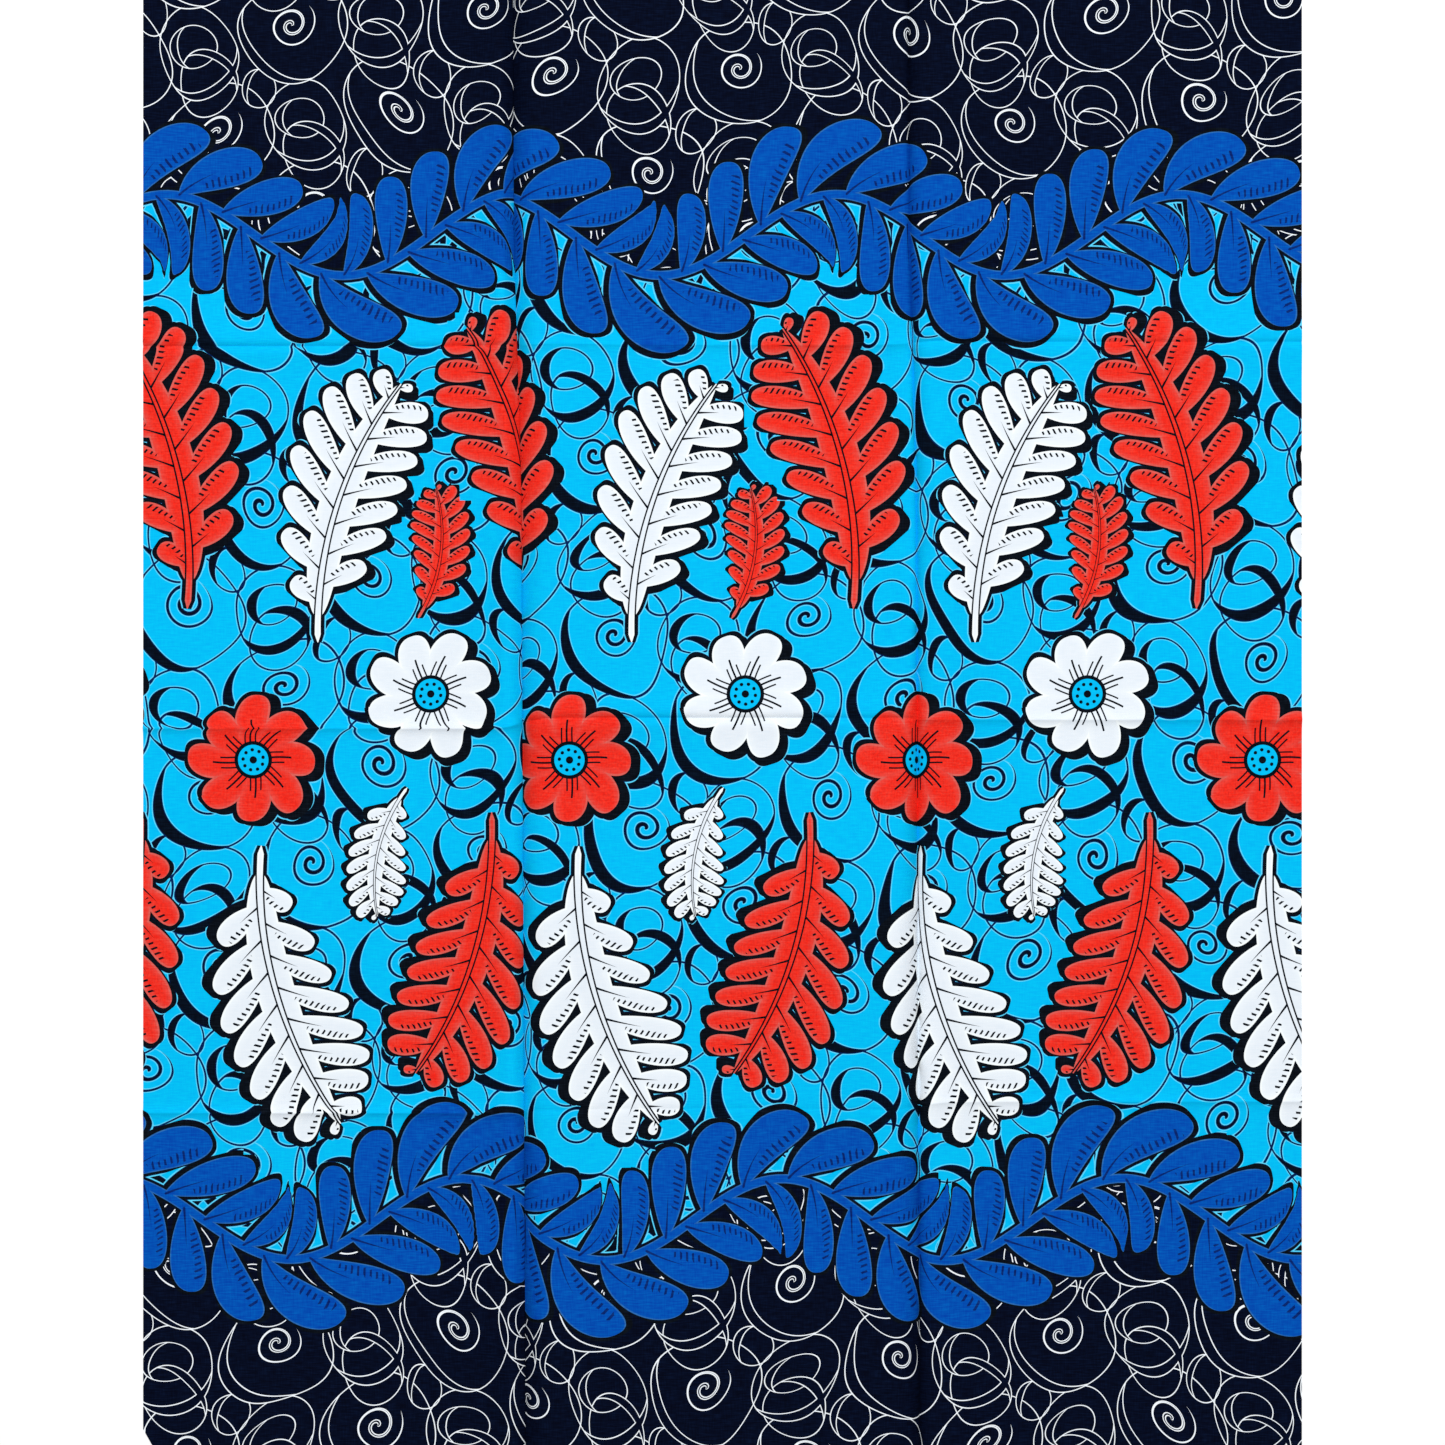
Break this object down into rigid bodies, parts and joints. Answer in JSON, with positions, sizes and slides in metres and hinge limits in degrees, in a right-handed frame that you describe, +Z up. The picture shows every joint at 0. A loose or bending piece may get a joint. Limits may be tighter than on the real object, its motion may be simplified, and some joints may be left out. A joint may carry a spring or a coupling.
{
  "type": "ankara fabric cut length",
  "caption": "Flat cut length of wax-print cotton, selvage to selvage, opened from its folded packet with crossing creases and one small lengthwise tuck.",
  "frame": {"origin": "under the middle of the cloth, on the surface it lies on", "axes": "+X along the cut length, +Y from the lower selvage to the upper one, +Z up out of the printed face"},
  "size_m": [0.914, 1.204, 0.0142],
  "materials": {
    "print_cotton": "plain-woven cotton, printed on both faces, lightly calendered"
  },
  "bodies": {
    "root": {"cloth": "print_cotton"}
  },
  "joints": []
}
